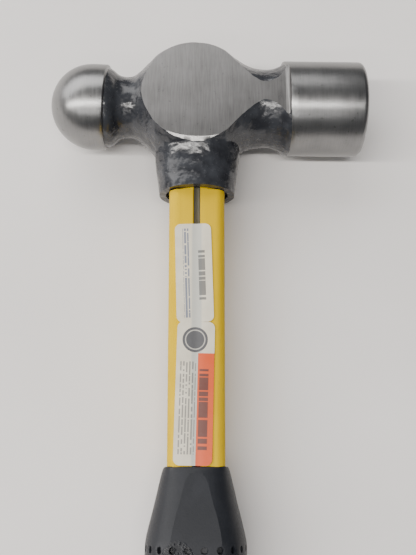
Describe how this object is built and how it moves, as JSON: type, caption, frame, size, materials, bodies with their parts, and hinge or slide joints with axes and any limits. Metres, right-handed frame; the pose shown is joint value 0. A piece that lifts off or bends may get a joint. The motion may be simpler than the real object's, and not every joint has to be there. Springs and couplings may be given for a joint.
{
  "type": "ball peen hammer",
  "caption": "Ball peen hammer with a forged steel head, a glass-fibre handle with a dark core stripe, and a textured rubber grip.",
  "frame": {"origin": "under the middle of the hammer's bounding box, on the surface that it lies on", "axes": "+X along the head from the ball to the striking face, +Y along the handle towards the head, +Z out of the upper cheek"},
  "size_m": [0.1106, 0.356, 0.0333],
  "materials": {
    "head_steel": "drop-forged steel, black paint on the forged skin, ball, cheeks and poll ground bright",
    "epoxy": "cast epoxy, amber brown",
    "seal_rubber": "black rubber, matte",
    "core_composite": "dark pultruded glass-fibre composite, fine lengthwise grain",
    "yellow_composite": "yellow resin, satin gloss",
    "grip_rubber": "black rubber, matte, dimpled below the cone",
    "label_film": "off-white label, satin, with plain printed blocks and bars"
  },
  "bodies": {
    "root": {"head_forging": "head_steel", "eye_bond": "epoxy", "eye_seal_ring": "seal_rubber", "shaft_core": "core_composite", "shaft_jacket": "yellow_composite", "grip_sleeve": "grip_rubber", "upper_label": "label_film", "lower_label": "label_film"}
  },
  "joints": []
}
